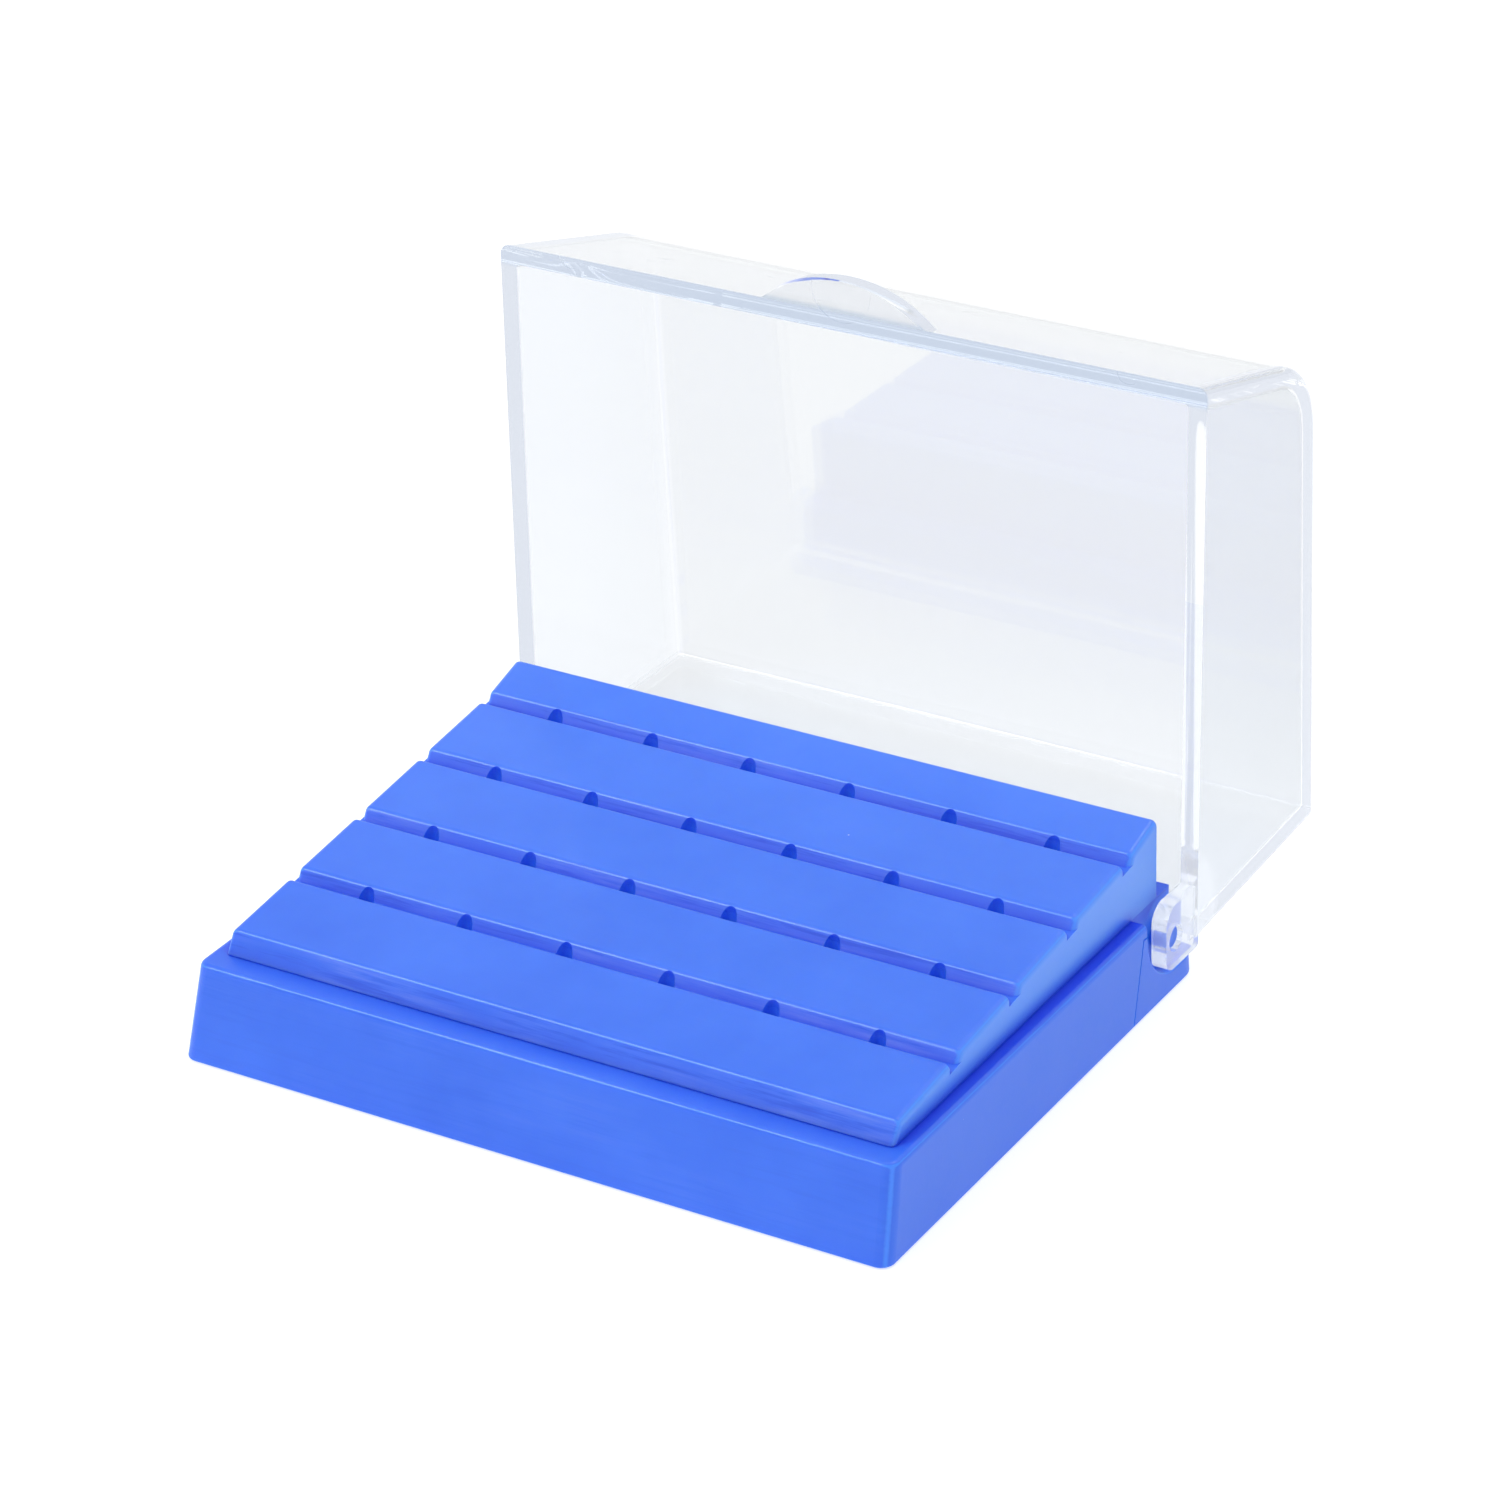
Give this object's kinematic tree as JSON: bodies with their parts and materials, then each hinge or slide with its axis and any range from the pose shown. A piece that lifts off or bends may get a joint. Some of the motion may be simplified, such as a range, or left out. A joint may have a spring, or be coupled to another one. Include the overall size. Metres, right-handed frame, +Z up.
{
  "type": "bur block with hinged lid",
  "caption": "Stepped plastic block with rows of sockets for small drill burs, on a tapered plinth with a clear hinged lid.",
  "frame": {"origin": "centre of the plinth's rest face, on the worktop plane, at the foot of the block's centre post", "axes": "+Z up, +X to the user's right along the rows, -Y towards the user, +Y towards the hinge"},
  "size_m": [0.0724, 0.0822, 0.0598],
  "materials": {
    "blue_plastic": "satin, slightly waxy",
    "clear_plastic": "polished clear"
  },
  "bodies": {
    "base": {"base_plinth": "blue_plastic", "bur_block": "blue_plastic", "hinge_pin_left": "blue_plastic", "hinge_pin_right": "blue_plastic"},
    "lid": {"lid": "clear_plastic"}
  },
  "joints": [
    {"name": "lid_hinge", "type": "hinge", "parent": "base", "child": "lid", "pos_m": [0, 0.02395, 0.00505], "axis": [1, 0, 0], "range_deg": [0, 91]}
  ]
}
